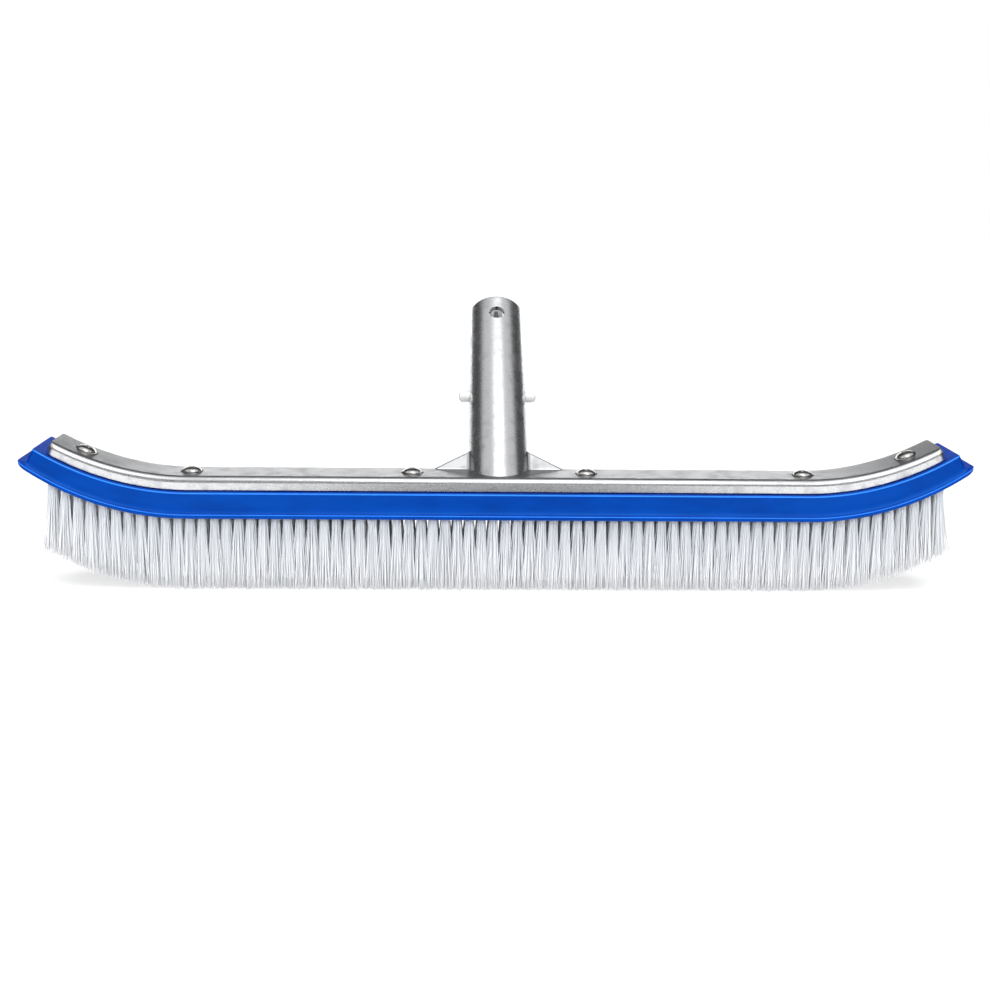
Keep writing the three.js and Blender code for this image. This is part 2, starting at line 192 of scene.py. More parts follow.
class BristleSizes(bpy.types.PropertyGroup):
    """The tufts, row by row, and their filaments."""

    rows: count("Rows", "Of tufts, front to back", 5)
    row_pitch: length("Row pitch", "Between rows", 5.6)
    columns_per_bank: count("Columns in a bank", "Columns of tufts in each bank", 2)
    filaments: count("Filaments", "In a tuft", 60)
    filament_radius: length("Filament radius", "At the root", 0.215)
    root_radius: length("Root radius", "Of a tuft where it leaves the block", 1.85)
    fan: strength("Fan", "Tip circle of a tuft against its root circle", 2.15)
    stray: length("Stray", "How far single tips wander", 0.8)
    uneven: length("Uneven tips", "How much shorter the shortest filaments are", 1.5)
    row_spread: length("Row spread", "Tips of the outer rows beyond their roots", 0.7)
    end_lean: length("End lean", "Tips of the last column beyond their roots", 2.6)
    seed: count("Seed", "Of the random strays", 7)


class FinishColours(bpy.types.PropertyGroup):
    """Base colours of the finishes."""

    metal: colour("Aluminium", "Polished casting", (0.70, 0.705, 0.715))
    metal_dull: colour("Dull aluminium", "Grain and hollows of the casting", (0.40, 0.405, 0.415))
    # painted shade: near black, laid on all but the fronts of the webs
    metal_painted_shade: colour("Rough aluminium", "All but the fronts of the webs", (0.07, 0.07, 0.075))
    blue: colour("Blue plastic", "Of the block", (0.0, 0.025, 0.225))
    blue_deep: colour("Deep blue", "Flow marks in the block", (0.0, 0.018, 0.185))
    # painted highlight: paler blue laid on the block's round edges that turn upwards
    blue_painted_highlight: colour("Rubbed ridges", "Round edges of the block", (0.03, 0.20, 0.85))
    blue_gloss: colour("Blue gloss", "What the block mirrors is tinted with this", (0.05, 0.42, 1.0))
    plating: colour("Plating", "Of the screws", (0.66, 0.65, 0.63))
    nylon: colour("White nylon", "Of the clip", (0.52, 0.525, 0.515))
    bristle: colour("Bristle nylon", "Of most filaments", (0.89, 0.93, 0.98))
    bristle_bright: colour("Bright bristle", "Of the tips", (0.98, 0.985, 0.995))


class StudioSettings(bpy.types.PropertyGroup):
    """Camera, lights and floor."""

    azimuth: angle("Azimuth", "Of the camera", -1.77)
    elevation: angle("Elevation", "Of the camera", 13.39)
    roll: angle("Roll", "Of the camera", 0.76)
    distance: length("Distance", "From the camera to its target", 666.72)
    target_across: length("Target X", "Of the point in the picture's middle", -1.96)
    target_height: length("Target Z", "Of the point in the picture's middle", 43.88)
    lens: bpy.props.FloatProperty(name="Lens", description="Focal length in millimetres", default=50.0)
    floor_reach: length("Floor reach", "Half of the floor's side", 3000)
    key: strength("Key light", "Radiance of the soft box above the front", 1.5)
    canopy: strength("Canopy", "Radiance of the wide sheet overhead", 0.68)
    backdrop: strength("Backdrop", "Radiance of the card behind", 1.9)
    front: strength("Front card", "Radiance of the long card behind the camera", 0.4)
    fill: strength("Fill", "Radiance of the low card that only matt surfaces see", 4.6)
    top_fill: strength("Top fill", "Radiance of the high card that only matt surfaces see", 3.4)
    room: strength("Room", "Radiance of everything else", 0.08)
    glow: strength("Floor glow", "Radiance of the lit floor far from the brush", 1.1)


class PoolBrush(bpy.types.PropertyGroup):
    """All of the brush's settings."""

    bend: bpy.props.PointerProperty(type=BendSizes)
    bar: bpy.props.PointerProperty(type=BarSizes)
    spigot: bpy.props.PointerProperty(type=SpigotSizes)
    gusset: bpy.props.PointerProperty(type=GussetSizes)
    block: bpy.props.PointerProperty(type=BlockSizes)
    screw: bpy.props.PointerProperty(type=ScrewSizes)
    clip: bpy.props.PointerProperty(type=ClipSizes)
    bristles: bpy.props.PointerProperty(type=BristleSizes)
    colours: bpy.props.PointerProperty(type=FinishColours)
    studio: bpy.props.PointerProperty(type=StudioSettings)


def settings():
    return bpy.context.scene.pool_brush


# ---- closed surfaces as arrays ----


class Shell:
    """A closed surface: an array of points, and arrays of its faces' corners, one for each face size."""

    def __init__(self, points, faces):
        self.points = np.asarray(points, float).reshape(-1, 3)
        self.faces = [np.asarray(group, int) for group in faces if len(group)]
        if self.volume() < 0:
            self.faces = [group[:, ::-1] for group in self.faces]

    def volume(self):
        """Sum of the signed volumes of the tetrahedra between the faces' fans and the first point."""
        total = 0.0
        points = self.points - self.points[0]
        for group in self.faces:
            for k in range(1, group.shape[1] - 1):
                a, b, c = (points[group[:, i]] for i in (0, k, k + 1))
                total += np.einsum("ij,ij->", a, np.cross(b, c)) / 6
        return total

    def moved(self, matrix):
        """The same surface turned and moved by a 4x4 matrix."""
        m = np.array(matrix, float)
        return Shell(self.points @ m[:3, :3].T + m[:3, 3], self.faces)


def grid_faces(rows, columns):
    """Quads between each row of points and the next, where the last column meets the first."""
    row = np.arange(rows - 1)[:, None] * columns
    here = np.arange(columns)[None, :]
    after = (here + 1) % columns
    return np.stack([row + here, row + after, row + columns + after, row + columns + here], -1).reshape(-1, 4)


def sleeve(points):
    """A closed surface through rings of points, rows by columns, with a flat face over each end ring."""
    rows, columns = points.shape[:2]
    ends = np.stack([np.arange(columns)[::-1], (rows - 1) * columns + np.arange(columns)])
    return Shell(points, [grid_faces(rows, columns), ends])


def turned(profile, sides=64):
    """A profile of (radius, height) turned about the Z axis, on which it starts and ends as single points."""
    radius, height = np.asarray(profile[1:-1], float).T
    turn = np.linspace(0, 2 * np.pi, sides, endpoint=False)
    rings = np.stack(
        [np.outer(radius, np.cos(turn)), np.outer(radius, np.sin(turn)), np.outer(height, np.ones(sides))], -1
    )
    rows = len(radius)
    first, last = rows * sides, rows * sides + 1
    here = np.arange(sides)
    after = (here + 1) % sides
    top = np.stack([np.full(sides, first), after, here], -1)
    bottom = np.stack([np.full(sides, last), here, after], -1) + [0, (rows - 1) * sides, (rows - 1) * sides]
    poles = [[0, 0, profile[0][1]], [0, 0, profile[-1][1]]]
    caps = np.concatenate([top, bottom])
    return Shell(np.concatenate([rings.reshape(-1, 3), poles]), [grid_faces(rows, sides), caps])


def arc(centre, radius, start, end, steps):
    """Points of a circular arc in a plane, angles in degrees."""
    turn = np.radians(np.linspace(start, end, steps))
    return np.stack([centre[0] + radius * np.cos(turn), centre[1] + radius * np.sin(turn)], -1)


def rounded_rectangle(width, height, radius, steps=5):
    """Outline of a rectangle with round corners, centred, anticlockwise."""
    half_width, half_height = width / 2 - radius, height / 2 - radius
    return np.concatenate(
        [
            arc((half_width, half_height), radius, 0, 90, steps),
            arc((-half_width, half_height), radius, 90, 180, steps),
            arc((-half_width, -half_height), radius, 180, 270, steps),
            arc((half_width, -half_height), radius, 270, 360, steps),
        ]
    )


def rod(radius, start, end, sides=48):
    """A straight round bar between two points: a circle carried from one to the other."""
    start, end = np.asarray(start, float), np.asarray(end, float)
    along = (end - start) / np.linalg.norm(end - start)
    side = np.cross(along, [0.0, 0.0, 1.0] if abs(along[2]) < 0.9 else [1.0, 0.0, 0.0])
    side /= np.linalg.norm(side)
    turn = np.linspace(0, 2 * np.pi, sides, endpoint=False)[:, None]
    circle = radius * (np.cos(turn) * side + np.sin(turn) * np.cross(along, side))
    return sleeve(np.stack([start + circle, end + circle]))


def lift(x):
    """How far the upturned ends have risen at x: nothing in the straight middle, then a circular arc."""
    bend = settings().bend
    beyond = np.maximum(np.abs(x) - bend.straight_half, 0)
    return bend.radius - np.sqrt(bend.radius**2 - beyond**2)


def stacked(levels, corner_steps=8, bend_steps=44, straight_steps=14):
    """A closed body through stacked outlines that follow the bend.

    Each level is (half length, half width, corner radius, height), highest first: a rectangle with round
    plan corners. Its points run along the back and return along the front, so that the top and the
    underside are strips across.
    """
    half_length, half_width, corner, height = np.asarray(levels, float).T[:, :, None]
    inner = half_length - corner
    turn = np.linspace(np.pi, np.pi / 2, corner_steps)
    left = -inner + corner * np.cos(turn)
    beside = half_width - corner + corner * np.sin(turn)
    straight = settings().bend.straight_half / inner.mean()
    bent = np.linspace(straight, 1, bend_steps, endpoint=False)
    flat = np.linspace(-straight, straight, straight_steps)[1:-1]
    middle = inner * np.concatenate([-bent[::-1], flat, bent])
    x = np.concatenate([left, middle, -left[:, ::-1]], 1)
    y = np.concatenate([beside, half_width * np.ones_like(middle), beside[:, ::-1]], 1)
    x, y = np.concatenate([x, x[:, ::-1]], 1), np.concatenate([y, -y[:, ::-1]], 1)
    rows, columns = x.shape
    points = np.stack([x, y, height + lift(x)], -1)
    here = np.arange(columns // 2 - 1)
    facing = columns - 1 - here
    top = np.stack([facing, facing - 1, here + 1, here], -1)
    under = (rows - 1) * columns + np.stack([here, here + 1, facing - 1, facing], -1)
    return Shell(points, [grid_faces(rows, columns), top, under])


# ---- meshes, joins and cuts ----


def mesh_of(name, shell):
    """A mesh from a closed surface, checked for faces that don't close."""
    mesh = bpy.data.meshes.new(name)
    corners = np.concatenate([group.ravel() for group in shell.faces])
    sizes = np.concatenate([np.full(len(group), group.shape[1]) for group in shell.faces])
    mesh.vertices.add(len(shell.points))
    mesh.vertices.foreach_set("co", shell.points.astype(np.float32).ravel())
    mesh.loops.add(len(corners))
    mesh.loops.foreach_set("vertex_index", corners.astype(np.int32))
    mesh.polygons.add(len(sizes))
    mesh.polygons.foreach_set("loop_start", (np.cumsum(sizes) - sizes).astype(np.int32))
    mesh.update(calc_edges=True)
    if mesh.validate():
        raise RuntimeError(f"{name} has faces that don't close")
    return mesh


def object_of(name, shell):
    """An object that holds a closed surface, linked to the scene."""
    piece = bpy.data.objects.new(name, mesh_of(name, shell))
    bpy.context.scene.collection.objects.link(piece)
    return piece


def settled(piece):
    """Applies the modifiers of a piece to its mesh."""
    bpy.context.view_layer.update()
    result = bpy.data.meshes.new_from_object(piece.evaluated_get(bpy.context.evaluated_depsgraph_get()))
    piece.modifiers.clear()
    old = piece.data
    piece.data = result
    bpy.data.meshes.remove(old)
    result.name = piece.name
    return piece


def combined(piece, shells, operation):
    """The piece joined with, or cut by, each surface in turn."""
    for shell in shells:
        tool = object_of("tool", shell)
        change = piece.modifiers.new("combine", "BOOLEAN")
        change.operation = operation
        change.solver = "EXACT"
        change.object = tool
        settled(piece)
        bpy.data.objects.remove(tool)
    if not len(piece.data.polygons):
        raise RuntimeError(f"{piece.name} was lost when it was combined")
    return piece


def edges_broken(piece, width, above=50):
    """A small bevel on every edge that is sharper than the angle."""
    change = piece.modifiers.new("edges", "BEVEL")
    change.limit_method = "ANGLE"
    change.angle_limit = math.radians(above)
    change.width = width
    change.segments = 2
    change.use_clamp_overlap = True
    return settled(piece)


def finished(piece, body, nodes, material, smooth_below=32, weighted=True):
    """Smooths a piece up to an angle, gives it its finish and hands it to its body in place of its nodes.

    Weighted normals lean towards the larger faces, so that the big surfaces stay true beside a small bevel.
    """
    piece.data.materials.clear()
    piece.data.materials.append(material)
    piece.data.shade_smooth()
    piece.data.set_sharp_from_angle(angle=math.radians(smooth_below))
    if weighted:
        piece.modifiers.new("normals", "WEIGHTED_NORMAL").keep_sharp = True
        settled(piece)
    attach(piece, body)
    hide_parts(*nodes)
    return piece


# ---- the spigot's own frame ----


def mount(name):
    """A mount of the frame, by name."""
    return next(m for m in frame["record"]["mounts"] if m["name"] == name)


def spigot_matrix():
    """Z along the spigot from the bar's top, -Y square to it towards the front, X along the brush."""
    along = Vector(mount("spigot_mouth")["axis"]).normalized()
    mouth = Vector(mount("spigot_mouth")["pos_m"])
    mouth.x = 0
    base = mouth - along * settings().spigot.length
    square = along.cross(Vector((1, 0, 0)))
    matrix = Matrix((Vector((1, 0, 0)), square, along)).transposed().to_4x4()
    matrix.translation = base
    return matrix


def spigot_radius(z):
    """Outside radius of the tube at z: it narrows evenly from the base to the mouth."""
    sizes = settings().spigot
    return sizes.base_radius + (sizes.mouth_radius - sizes.base_radius) * z / sizes.length


def bar_top():
    """Height of the flat in the straight middle."""
    return casting_low.z + settings().bar.height


# ---- back casting ----


def bar_shell():
    """The bar as stacked outlines: flat, quarter ellipse for the shoulder, side and a small break."""
    sizes = settings().bar
    flat_half = sizes.flat_width / 2
    turn = np.radians(np.linspace(0, 90, 15))
    out = np.concatenate([sizes.shoulder * np.sin(turn), [sizes.shoulder, sizes.shoulder - sizes.foot_edge]])
    down = np.concatenate(
        [sizes.shoulder_drop * (1 - np.cos(turn)), [sizes.height - sizes.foot_edge, sizes.height]]
    )
    half_length = casting_high.x - sizes.end_draft * (1 - down / sizes.height)
    corner = sizes.top_corner + (sizes.foot_corner - sizes.top_corner) * out / sizes.shoulder
    return stacked(np.stack([half_length, flat_half + out, corner, bar_top() - down], -1))


def tube_shell(sides=144, rows=22):
    """The spigot: straight lines up the cone, half rounds over the mouth, the bore and its floor.

    All of it is turned about the axis. Each line starts where it meets the bar's underside, and on the
    front just under the bar's top, with an even blend from one to the other.
    """
    sizes, matrix = settings().spigot, spigot_matrix()
    front_start, front_blend, front_sunk = 0.1, 0.25, 1.5 * MM
    cos_tilt, sin_tilt = matrix[2][2], matrix[1][2]
    bore, rim = sizes.mouth_radius - sizes.wall, sizes.mouth_round
    turn = np.linspace(0, 2 * np.pi, sides, endpoint=False)
    front = np.clip((-np.sin(turn) - front_start) / front_blend, 0, 1)
    foot_drop = settings().bar.height * (1 - front) + front_sunk * front
    foot = (sizes.base_radius * np.sin(turn) * sin_tilt - foot_drop) / cos_tilt
    outer = arc((sizes.mouth_radius - rim, sizes.length - rim), rim, 0, 90, 6)
    inner = arc((bore + rim, sizes.length - rim), rim, 90, 180, 6)
    floor = (bore * sin_tilt - settings().bar.height + sizes.floor) / cos_tilt
    profile = np.concatenate([outer, inner, [[bore, floor + rim], [bore - rim, floor]]])
    climb = np.linspace(0, 1, rows, endpoint=False)[:, None]
    cone = foot * (1 - climb) + (sizes.length - rim) * climb
    radius = np.concatenate([spigot_radius(cone), np.repeat(profile[:, :1], sides, 1)])
    height = np.concatenate([cone, np.repeat(profile[:, 1:], sides, 1)])
    rings = np.stack([radius * np.cos(turn), radius * np.sin(turn), height], -1)
    return sleeve(rings).moved(matrix)


def foot_fillet_shell(steps=61, half_turn=84):
    """Fillet at the tube's foot: the gap under a ball that rolls along the tube and the flat.

    The ball's centre stands one radius above the flat and one radius off the tube. The visible arc runs
    from where it touches the tube to where it touches the flat, and the rest is buried in the metal.
    """
    sizes, matrix = settings().spigot, np.array(spigot_matrix())
    ball, sunk, buried_depth = sizes.foot_fillet, 0.02 * MM, 0.8 * MM
    turn = np.radians(np.linspace(-half_turn, half_turn, steps))
    off = sizes.base_radius + ball
    along = (ball - off * np.cos(turn) * matrix[1, 2]) / matrix[2, 2]
    centre = np.stack([off * np.sin(turn), -off * np.cos(turn), along], -1) @ matrix[:3, :3].T + matrix[:3, 3]
    to_tube = -np.stack([np.sin(turn), -np.cos(turn), np.zeros(steps)], -1) @ matrix[:3, :3].T
    to_flat = np.broadcast_to([0.0, 0.0, -1.0], to_tube.shape)
    swing = np.linspace(0, 1, 9)[:, None, None]
    heading = to_tube * (1 - swing) + to_flat * swing
    heading /= np.linalg.norm(heading, axis=-1, keepdims=True)
    visible = centre + heading * (ball + sunk)
    deep = ball + buried_depth
    buried = np.stack([centre + to_flat * deep + to_tube * ball, centre + to_tube * deep])
    return sleeve(np.concatenate([visible, buried]).transpose(1, 0, 2))


def gusset_shell(side, stations=40):
    """One web, side +1 or -1: a rectangle with round top edges, carried away from the tube as it gets lower.

    Beside the tube its faces swell along the circle of a ball that touches both the web and the tube.
    It starts inside the tube's wall and ends under the bar's top.
    """
    sizes, spigot = settings().gusset, settings().spigot
    in_wall, swollen, past_end = 0.8 * MM, 6 * MM, 1.5 * MM
    sunk, least = 5 * MM, 2 * MM
    tan_tilt = spigot_matrix()[1][2] / spigot_matrix()[2][2]
    front, back = -sizes.front, sizes.thickness - sizes.front
    level = front * tan_tilt
    tube = spigot.base_radius

    def swell(x, face, outward):
        """Where the fillet carries a face of the web at x."""
        middle_y = face + outward * sizes.fillet
        middle_x = math.sqrt((tube + sizes.fillet) ** 2 - middle_y**2)
        touch = middle_x * tube / (tube + sizes.fillet)
        inside = np.clip(x, touch, middle_x) - middle_x
        return middle_y - outward * np.sqrt(sizes.fillet**2 - inside**2)

    near = np.linspace(tube - spigot.wall + in_wall, tube + swollen, stations)
    x = np.concatenate([near, np.linspace(near[-1], tube + sizes.reach + past_end, 14)[1:]])
    top = level + sizes.rise * np.minimum(1 - (x - tube) / sizes.reach, 1)
    foot = np.full_like(x, level - sunk)
    top = np.maximum(top, foot + least)
    y_front, y_back = swell(x, front, -1), swell(x, back, 1)
    turn = np.radians(np.linspace(0, 90, 5))
    rows = [(y_front, foot)]
    for y, inward, turns in ((y_front, 1, turn), (y_back, -1, turn[::-1])):
        for t in turns:
            rows.append((y + inward * sizes.edge * (1 - math.cos(t)), top - sizes.edge * (1 - math.sin(t))))
    rows.append((y_back, foot))
    ring = np.stack([np.stack([side * x, y, z], -1) for y, z in rows], 1)
    return sleeve(ring).moved(spigot_matrix())


def screw_places():
    """Where the six screws stand along the brush, from left to right."""
    sizes, bar = settings().screw, settings().bar
    last = casting_high.x - bar.end_draft - sizes.end_inset
    places = np.array([sizes.inner_place, settings().bend.straight_half, last])
    return np.concatenate([-places[::-1], places])


def screw_seat(x):
    """A frame at the foot of the counterbore at x, Z square to the flat there."""
    bend = settings().bend
    tilt = math.copysign(math.asin(max(abs(x) - bend.straight_half, 0) / bend.radius), x)
    down = settings().bar.counterbore_depth
    matrix = Matrix.Rotation(-tilt, 4, "Y")
    height = bar_top() + float(lift(x)) - down * math.cos(tilt)
    matrix.translation = (x + down * math.sin(tilt), 0, height)
    return matrix


def casting_cuts():
    """The counterbores, shank holes, lock hole and button holes, as round bars."""
    bar, spigot = settings().bar, settings().spigot
    above, overlap, through = 8 * MM, 1 * MM, 12 * MM
    for x in screw_places():
        seat = screw_seat(x)
        yield rod(bar.counterbore, (0, 0, 0), (0, 0, above), 56).moved(seat)
        yield rod(bar.shank_hole, (0, 0, overlap), (0, 0, -through), 28).moved(seat)
    lock, button = spigot.length - spigot.lock_hole_down, spigot.length - spigot.button_hole_down
    reach = 2 * spigot.base_radius
    yield rod(spigot.lock_hole, (0, -reach, lock), (0, reach, lock), 64).moved(spigot_matrix())
    for side in (-1, 1):
        yield rod(spigot.button_hole, (0, 0, button), (side * reach, 0, button), 48).moved(spigot_matrix())


class MakeBackCasting(bpy.types.Operator):
    """Make the aluminium bar with its leaning spigot, webs, bore and holes"""

    bl_idname = "pool_brush.make_back_casting"
    bl_label = "Back casting"

    def execute(self, context):
        casting = object_of("cast_back", bar_shell())
        combined(casting, [tube_shell(), gusset_shell(-1), gusset_shell(1), foot_fillet_shell()], "UNION")
        combined(casting, casting_cuts(), "DIFFERENCE")
        edges_broken(casting, settings().bar.rim)
        finished(casting, "brush", ["back_casting"], cast_aluminium())
        return {"FINISHED"}


# ---- brush block ----


def block_shell():
    """The block as stacked outlines: ledge, drafted wall, a concave flare out to the lip, and the underside.

    The rounds of the ledge and the lip are quarter circles, and the flare is a quarter ellipse.
    """
    sizes = settings().block
    wall_length, wall_width = block_high.x - sizes.end_flare, block_high.y - sizes.flare
    lip_top = block_low.z + sizes.lip
    ledge, lip = sizes.ledge_edge, sizes.lip_edge
    top = block_low.z + sizes.height
    levels = []
    for t in np.radians(np.linspace(0, 90, 7)):
        back, down = ledge * (1 - math.sin(t)), ledge * (1 - math.cos(t))
        levels.append((wall_length - back, wall_width - back, sizes.ledge_corner - back, top - down))
    for t in np.radians(np.linspace(0, 90, 15)):
        out = 1 - math.cos(t)
        levels.append(
            (
                wall_length + sizes.end_wall_draft + (sizes.end_flare - sizes.end_wall_draft - lip) * out,
                wall_width + sizes.wall_draft + (sizes.flare - sizes.wall_draft - lip) * out,
                sizes.ledge_corner + (sizes.lip_corner - lip - sizes.ledge_corner) * out,
                lip_top + sizes.flare_rise * (1 - math.sin(t)),
            )
        )
    for height, turn in ((lip_top - lip, np.linspace(80, 0, 6)), (block_low.z + lip, np.linspace(0, -90, 7))):
        for t in np.radians(turn):
            back = lip * (1 - math.cos(t))
            corner = sizes.lip_corner - back
            levels.append((block_high.x - back, block_high.y - back, corner, height + lip * math.sin(t)))
    return stacked(levels)


class MakeBrushBlock(bpy.types.Operator):
    """Make the moulded blue block that holds the tufts"""

    bl_idname = "pool_brush.make_brush_block"
    bl_label = "Brush block"

    def execute(self, context):
        sizes = settings().screw
        block = object_of("moulded_block", block_shell())
        under_tip, round_shank = 1.2 * MM, 0.3 * MM
        end = (0, 0, -sizes.reach - under_tip)
        hole = rod(sizes.shank_radius + round_shank, (0, 0, 0), end, 24)
        pilots = (hole.moved(screw_seat(x)) for x in screw_places())
        combined(block, pilots, "DIFFERENCE")
        finished(block, "brush", ["brush_block"], blue_plastic())
        return {"FINISHED"}


# ---- screws ----


def screw_shell(sides=56):
    """A pan head, its dome a quarter ellipse over a short rim, and a threaded shank, turned about the axis.

    The shank's radius rises and falls with a wave of z and the angle together, once for each turn of
    thread, so that the ridge climbs as it goes round.
    """
    sizes = settings().screw
    radius, top = sizes.head_radius, sizes.head_height
    rim_top, rim_foot, rim_break = 0.25 * top, 0.08 * top, 0.15 * MM
    thread_top, tip, axis_width = 0.4 * MM, 0.05 * MM, 0.1 * MM
    point_length, blunt = 1.6 * sizes.shank_radius, 0.06
    thread_depth, valley = 0.11, -0.2
    turn = np.radians(np.linspace(90, 0, 14))
    crown = np.stack([radius * np.cos(turn), rim_top + (top - rim_top) * np.sin(turn)], -1)
    rim = [[radius, rim_foot], [radius - rim_break, 0]]
    down = np.linspace(0, -(sizes.reach - tip), 70)
    point = np.clip((down + sizes.reach) / point_length, blunt, 1)
    shank = np.stack([sizes.shank_radius * point, down], -1)
    profile = np.concatenate([[[0, top]], crown[1:], rim, shank, [[0, -sizes.reach]]])
    shell = turned(profile, sides)
    x, y, z = shell.points.T
    on_shank = (z < -thread_top) & (np.hypot(x, y) > axis_width)
    wave = np.cos(2 * np.pi * z / sizes.thread_pitch - np.arctan2(y, x))
    groove = 1 - on_shank * thread_depth * (1 - np.maximum(wave, valley))
    shell.points[:, :2] *= groove[:, None]
    return shell


def cross_slots():
    """The two slots of the recess: each a bar that narrows as it goes down."""
    sizes = settings().screw
    above, floor_length, floor_width = 0.5 * MM, 0.55, 0.7
    top = sizes.head_height + above
    floor = sizes.head_height - sizes.cross_depth
    corners = np.array([[1, 1], [-1, 1], [-1, -1], [1, -1]]) / 2
    for quarter in (0, 90):
        upper = corners * [sizes.cross_length, sizes.cross_width]
        lower = corners * [sizes.cross_length * floor_length, sizes.cross_width * floor_width]
        rings = np.stack([np.c_[lower, np.full(4, floor)], np.c_[upper, np.full(4, top)]])
        yield sleeve(rings).moved(Matrix.Rotation(math.radians(quarter), 4, "Z"))


class MakeBlockScrews(bpy.types.Operator):
    """Make the six plated screws, each turned to its own stop"""

    bl_idname = "pool_brush.make_block_screws"
    bl_label = "Block screws"

    def execute(self, context):
        pattern = object_of("screw_pattern", screw_shell())
        combined(pattern, cross_slots(), "DIFFERENCE")
        recess_break, under_head, stops = 0.07 * MM, 0.3 * MM, (24, -12, 38, 5, -28, 16)
        edges_broken(pattern, recess_break, 60)
        material = screw_steel()
        for number, (x, stop) in enumerate(zip(screw_places(), stops), start=1):
            screw = bpy.data.objects.new(f"plated_screw_{number}", pattern.data.copy())
            bpy.context.scene.collection.objects.link(screw)
            raised = Matrix.Translation((0, 0, under_head)) @ Matrix.Rotation(math.radians(stop), 4, "Z")
            screw.data.transform(screw_seat(x) @ raised)
            finished(screw, "brush", [f"block_screw_{number}"], material, 40)
        bpy.data.objects.remove(pattern)
        return {"FINISHED"}


# ---- spring clip ----


def clip_root():
    """(distance from the middle, height along the spigot) of the root that the right arm turns on."""
    joint = next(j for j in frame["joints"] if j["name"] == "right_button_press")
    place = spigot_matrix().inverted() @ Vector(joint["pos_m"])
    return place.x, place.z


def clip_bend_shell():
    """The bend: a rounded rectangle carried round half a circle."""
    sizes = settings().clip
    thick, wide = rounded_rectangle(sizes.thickness, sizes.width, sizes.edge, 4).T
    turn = np.linspace(0, np.pi, 33)[:, None]
    reach = sizes.bend_radius - sizes.thickness / 2 + thick
    rings = np.stack([reach * np.cos(turn), wide + 0 * turn, reach * np.sin(turn)], -1)
    return sleeve(rings + [0, 0, clip_root()[1]]).moved(spigot_matrix())


def clip_arm_shells(side):
    """The arm, a rounded rectangle carried down to a half round end, and the button, a pin with an oval dome.

    The arm starts just inside the bend and leans out until its end all but touches the bore.
    """
    sizes, spigot = settings().clip, settings().spigot
    in_bend, dome_share, dome_power = 0.05 * MM, 0.7, 0.8
    root_x, root_z = clip_root()
    drop = root_z - (spigot.length - sizes.button_down)
    bore = spigot.mouth_radius - spigot.wall
    half = sizes.thickness / 2
    reach = math.sqrt(bore**2 - (sizes.width / 2) ** 2) - sizes.wall_clearance - half - root_x
    lean = math.atan2(reach, drop + sizes.tail)
    arm_length = (drop + sizes.tail) / math.cos(lean)
    thick, wide = rounded_rectangle(sizes.thickness, sizes.width, sizes.edge, 4).T
    turn = np.radians(np.linspace(0, 86, 9))
    down = np.concatenate([[-in_bend], -arm_length + half - half * np.sin(turn)])[:, None]
    thinner = np.concatenate([[1], np.cos(turn)])[:, None]
    rings = np.stack([thick * thinner, wide + 0 * down, down + 0 * thick], -1)
    place = spigot_matrix() @ Matrix.Translation((side * root_x, 0, root_z))
    arm = sleeve(rings).moved(place @ Matrix.Rotation(-side * lean, 4, "Y"))
    inner = drop * math.tan(lean) - half / 2
    tip = spigot_radius(spigot.length - sizes.button_down) + sizes.button_stand - root_x
    radius, dome = sizes.button_radius, dome_share * sizes.button_radius
    over = np.radians(np.linspace(0, 88, 12))
    crown = np.stack([radius * np.cos(over) ** dome_power, tip - dome + dome * np.sin(over)], -1)
    profile = np.concatenate([[[0, inner], [radius, inner]], crown, [[0, tip]]])
    sideways = Matrix.Translation((0, 0, -drop)) @ Matrix.Rotation(math.radians(side * 90), 4, "Y")
    return arm, turned(profile, 48).moved(place @ sideways)


class MakeSpringClip(bpy.types.Operator):
    """Make the nylon clip's bend and its two arms with their push buttons"""

    bl_idname = "pool_brush.make_spring_clip"
    bl_label = "Spring clip"

    def execute(self, context):
        material = clip_nylon()
        bend = object_of("nylon_clip_bend", clip_bend_shell())
        finished(bend, "brush", ["clip_bend"], material)
        for name, side in (("left", -1), ("right", 1)):
            arm_shell, button_shell = clip_arm_shells(side)
            arm = combined(object_of(f"nylon_{name}_arm", arm_shell), [button_shell], "UNION")
            finished(arm, f"{name}_button", [f"{name}_button_arm"], material)
        return {"FINISHED"}


# ---- bristles ----


def bank_pitch():
    """Distance between the middles of neighbouring banks, from two in the middle of the brush."""
    number = len(bank_names()) // 2 + 1
    low, high = (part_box(f"bristle_bank_{n:02d}") for n in (number, number + 1))
    return (high[0].x + high[1].x - low[0].x - low[1].x) / 2


def bank_names():
    """The frame's bristle banks, from left to right."""
    return sorted(name for name in frame["nodes"] if name.startswith("bristle_bank_"))


